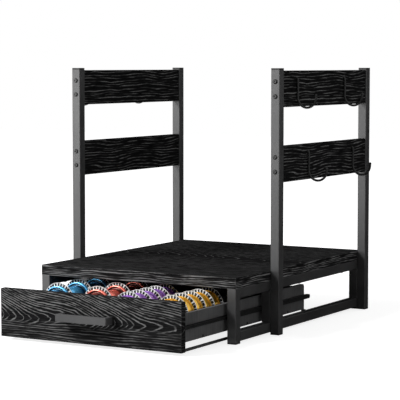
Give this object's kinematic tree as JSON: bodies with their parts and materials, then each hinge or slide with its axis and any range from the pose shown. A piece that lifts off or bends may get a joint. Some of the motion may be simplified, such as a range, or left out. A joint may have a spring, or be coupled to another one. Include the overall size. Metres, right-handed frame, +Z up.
{
  "type": "coffee capsule drawer stand",
  "caption": "Low black stand with a pull-out capsule drawer under its shelf and a mug rack with hooks on each side.",
  "frame": {"origin": "on the floor under the middle of the whole part, with the drawer drawn out as in the picture", "axes": "+X to the right as seen from the drawer's front, +Y from the drawer's front to the back, +Z up"},
  "size_m": [0.4964, 0.6632, 0.453],
  "materials": {
    "stained_oak": "black-stained oak veneer with thin pale open grain, satin",
    "powder_coat": "black powder coat on steel, fine texture, satin",
    "black_plastic": "moulded black plastic, matt",
    "black_steel": "black oxide steel, satin",
    "zinc_steel": "zinc plated, satin",
    "nylon": "natural nylon, matt",
    "black_board": "black foiled board, matt, with a paler cut edge",
    "grey_coat": "grey powder coat, fine texture, matt",
    "capsule_blue": "blue lacquered aluminium, white rim with short black dashes",
    "capsule_red": "coral red lacquered aluminium, white rim with short black dashes",
    "capsule_purple": "purple lacquered aluminium, white rim with short black dashes",
    "capsule_yellow": "golden lacquered aluminium, white rim with short black dashes",
    "foil": "plain embossed foil"
  },
  "bodies": {
    "stand": {"shelf_board": "stained_oak", "upper_slat_left": "stained_oak", "upper_slat_right": "stained_oak", "lower_slat_left": "stained_oak", "lower_slat_right": "stained_oak", "front_leg_left": "powder_coat", "front_leg_right": "powder_coat", "rear_leg_left": "powder_coat", "rear_leg_right": "powder_coat", "mid_post_left": "powder_coat", "mid_post_right": "powder_coat", "upper_rail_left": "powder_coat", "upper_rail_right": "powder_coat", "lower_rail_left": "powder_coat", "lower_rail_right": "powder_coat", "rear_cross_rail": "powder_coat", "front_upright_left": "powder_coat", "front_upright_right": "powder_coat", "rear_upright_left": "powder_coat", "rear_upright_right": "powder_coat", "mug_hooks_left": "powder_coat", "mug_hooks_right": "powder_coat", "leg_feet": "black_plastic", "upright_feet": "black_plastic", "upright_top_caps": "black_plastic", "slat_bolts": "black_steel", "rack_bolts": "black_steel", "slide_rail_left": "black_steel", "slide_rail_right": "black_steel", "rail_brackets": "black_steel", "shelf_screws": "zinc_steel", "rack_rivet_nuts": "zinc_steel", "rail_screws": "zinc_steel", "rail_pads": "nylon"},
    "drawer": {"drawer_front": "stained_oak", "underbar_left": "powder_coat", "underbar_right": "powder_coat", "handle_spacers": "black_plastic", "slide_runner_left": "black_steel", "slide_runner_right": "black_steel", "box_screws": "black_steel", "handle_screws": "zinc_steel", "front_screws": "zinc_steel", "runner_sliders": "nylon", "drawer_inner_front": "black_board", "drawer_side_left": "black_board", "drawer_side_right": "black_board", "drawer_back": "black_board", "drawer_floor": "black_board", "lane_dividers": "black_board", "handle_pull": "grey_coat", "capsules_blue": "capsule_blue", "capsules_red": "capsule_red", "capsules_purple": "capsule_purple", "capsules_yellow": "capsule_yellow", "lids_blue": "foil", "lids_red": "foil", "lids_purple": "foil", "lids_yellow": "foil"}
  },
  "joints": [
    {"name": "drawer_slide", "type": "slide", "parent": "stand", "child": "drawer", "axis": [0, -1, 0], "range_m": [-0.145, 0.148]}
  ]
}
